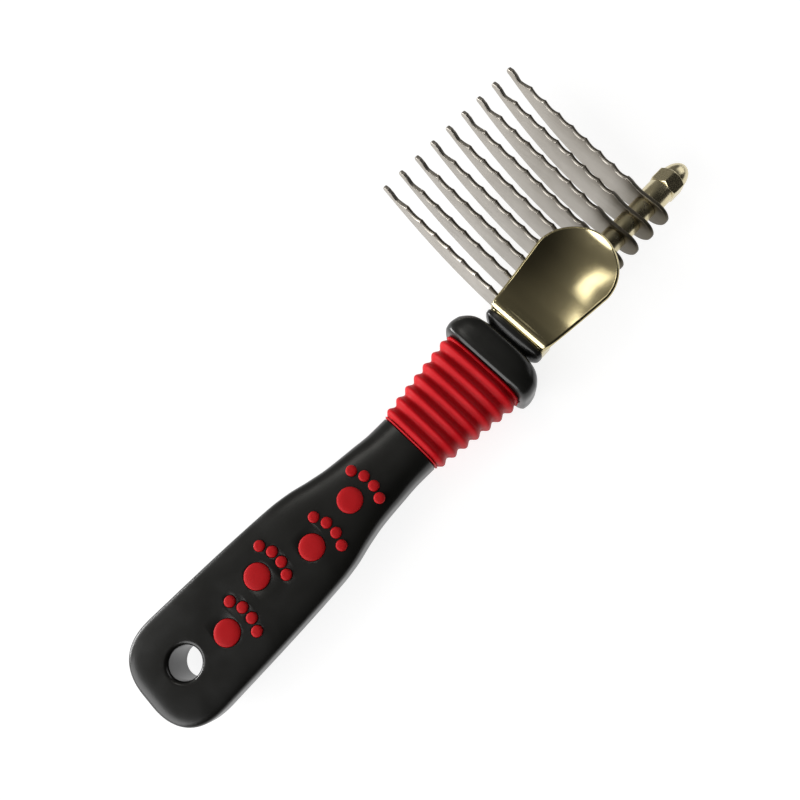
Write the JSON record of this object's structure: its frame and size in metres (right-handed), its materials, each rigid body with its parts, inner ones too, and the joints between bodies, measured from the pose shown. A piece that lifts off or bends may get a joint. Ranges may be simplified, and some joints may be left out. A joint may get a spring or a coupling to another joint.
{
  "type": "dematting comb",
  "caption": "Hand comb with hooked serrated blades clamped on a shaft behind a thumb rest, on a black handle with a ribbed red grip and a hanging hole.",
  "frame": {"origin": "centre of the hanging hole, half way through the handle", "axes": "+X along the handle to the blade end, +Y along the blades to their tips, +Z the thumb side, out of the hanging hole"},
  "size_m": [0.2001, 0.0674, 0.0227],
  "materials": {
    "handle_plastic": "satin moulded",
    "grip_rubber": "soft matte moulded",
    "paw_rubber": "soft matte moulded",
    "head_metal": "polished casting with a pale gold plate",
    "plated_fittings": "polished pale gold plate",
    "shaft_steel": "turned steel",
    "blade_steel": "satin ground stainless steel"
  },
  "bodies": {
    "root": {"handle_core": "handle_plastic", "grip_sleeve": "grip_rubber", "paw_inlay_1": "paw_rubber", "paw_inlay_2": "paw_rubber", "paw_inlay_3": "paw_rubber", "paw_inlay_4": "paw_rubber", "neck_ferrule": "handle_plastic", "head_casting": "head_metal", "shaft": "shaft_steel"},
    "blade_1": {"blade_1": "blade_steel"},
    "spacer_1": {"spacer_1": "plated_fittings"},
    "blade_2": {"blade_2": "blade_steel"},
    "spacer_2": {"spacer_2": "plated_fittings"},
    "blade_3": {"blade_3": "blade_steel"},
    "spacer_3": {"spacer_3": "plated_fittings"},
    "blade_4": {"blade_4": "blade_steel"},
    "spacer_4": {"spacer_4": "plated_fittings"},
    "blade_5": {"blade_5": "blade_steel"},
    "spacer_5": {"spacer_5": "plated_fittings"},
    "blade_6": {"blade_6": "blade_steel"},
    "spacer_6": {"spacer_6": "plated_fittings"},
    "blade_7": {"blade_7": "blade_steel"},
    "spacer_7": {"spacer_7": "plated_fittings"},
    "blade_8": {"blade_8": "blade_steel"},
    "spacer_8": {"spacer_8": "plated_fittings"},
    "blade_9": {"blade_9": "blade_steel"},
    "end_collar": {"end_collar": "plated_fittings"},
    "end_nut": {"end_nut": "plated_fittings"}
  },
  "joints": [
    {"name": "end_nut_travel", "type": "slide", "parent": "root", "child": "end_collar", "axis": [1, 0, 0], "range_m": [0, 0.0072]},
    {"name": "end_nut_turn", "type": "hinge", "parent": "end_collar", "child": "end_nut", "pos_m": [0.182, 0, 0], "axis": [1, 0, 0], "range_deg": [0, 3240]},
    {"name": "blade_1_slide", "type": "slide", "parent": "root", "child": "blade_1", "axis": [1, 0, 0], "range_m": [0, 0.0004]},
    {"name": "spacer_1_slide", "type": "slide", "parent": "root", "child": "spacer_1", "axis": [1, 0, 0], "range_m": [0, 0.0008]},
    {"name": "blade_2_slide", "type": "slide", "parent": "root", "child": "blade_2", "axis": [1, 0, 0], "range_m": [0, 0.0012]},
    {"name": "spacer_2_slide", "type": "slide", "parent": "root", "child": "spacer_2", "axis": [1, 0, 0], "range_m": [0, 0.0016]},
    {"name": "blade_3_slide", "type": "slide", "parent": "root", "child": "blade_3", "axis": [1, 0, 0], "range_m": [0, 0.002]},
    {"name": "spacer_3_slide", "type": "slide", "parent": "root", "child": "spacer_3", "axis": [1, 0, 0], "range_m": [0, 0.0024]},
    {"name": "blade_4_slide", "type": "slide", "parent": "root", "child": "blade_4", "axis": [1, 0, 0], "range_m": [0, 0.0028]},
    {"name": "spacer_4_slide", "type": "slide", "parent": "root", "child": "spacer_4", "axis": [1, 0, 0], "range_m": [0, 0.0032]},
    {"name": "blade_5_slide", "type": "slide", "parent": "root", "child": "blade_5", "axis": [1, 0, 0], "range_m": [0, 0.0036]},
    {"name": "spacer_5_slide", "type": "slide", "parent": "root", "child": "spacer_5", "axis": [1, 0, 0], "range_m": [0, 0.004]},
    {"name": "blade_6_slide", "type": "slide", "parent": "root", "child": "blade_6", "axis": [1, 0, 0], "range_m": [0, 0.0044]},
    {"name": "spacer_6_slide", "type": "slide", "parent": "root", "child": "spacer_6", "axis": [1, 0, 0], "range_m": [0, 0.0048]},
    {"name": "blade_7_slide", "type": "slide", "parent": "root", "child": "blade_7", "axis": [1, 0, 0], "range_m": [0, 0.0052]},
    {"name": "spacer_7_slide", "type": "slide", "parent": "root", "child": "spacer_7", "axis": [1, 0, 0], "range_m": [0, 0.0056]},
    {"name": "blade_8_slide", "type": "slide", "parent": "root", "child": "blade_8", "axis": [1, 0, 0], "range_m": [0, 0.006]},
    {"name": "spacer_8_slide", "type": "slide", "parent": "root", "child": "spacer_8", "axis": [1, 0, 0], "range_m": [0, 0.0064]},
    {"name": "blade_9_slide", "type": "slide", "parent": "root", "child": "blade_9", "axis": [1, 0, 0], "range_m": [0, 0.0068]}
  ],
  "couplings": [
    {"joint": "end_nut_turn", "follows": "end_nut_travel", "rad_per_m": 7854},
    {"joint": "blade_1_slide", "follows": "end_nut_travel", "ratio": 0.055555},
    {"joint": "spacer_1_slide", "follows": "end_nut_travel", "ratio": 0.11111},
    {"joint": "blade_2_slide", "follows": "end_nut_travel", "ratio": 0.16667},
    {"joint": "spacer_2_slide", "follows": "end_nut_travel", "ratio": 0.22222},
    {"joint": "blade_3_slide", "follows": "end_nut_travel", "ratio": 0.27778},
    {"joint": "spacer_3_slide", "follows": "end_nut_travel", "ratio": 0.33333},
    {"joint": "blade_4_slide", "follows": "end_nut_travel", "ratio": 0.38889},
    {"joint": "spacer_4_slide", "follows": "end_nut_travel", "ratio": 0.44444},
    {"joint": "blade_5_slide", "follows": "end_nut_travel", "ratio": 0.5},
    {"joint": "spacer_5_slide", "follows": "end_nut_travel", "ratio": 0.55556},
    {"joint": "blade_6_slide", "follows": "end_nut_travel", "ratio": 0.61111},
    {"joint": "spacer_6_slide", "follows": "end_nut_travel", "ratio": 0.66667},
    {"joint": "blade_7_slide", "follows": "end_nut_travel", "ratio": 0.72222},
    {"joint": "spacer_7_slide", "follows": "end_nut_travel", "ratio": 0.77778},
    {"joint": "blade_8_slide", "follows": "end_nut_travel", "ratio": 0.83333},
    {"joint": "spacer_8_slide", "follows": "end_nut_travel", "ratio": 0.88889},
    {"joint": "blade_9_slide", "follows": "end_nut_travel", "ratio": 0.94444}
  ]
}
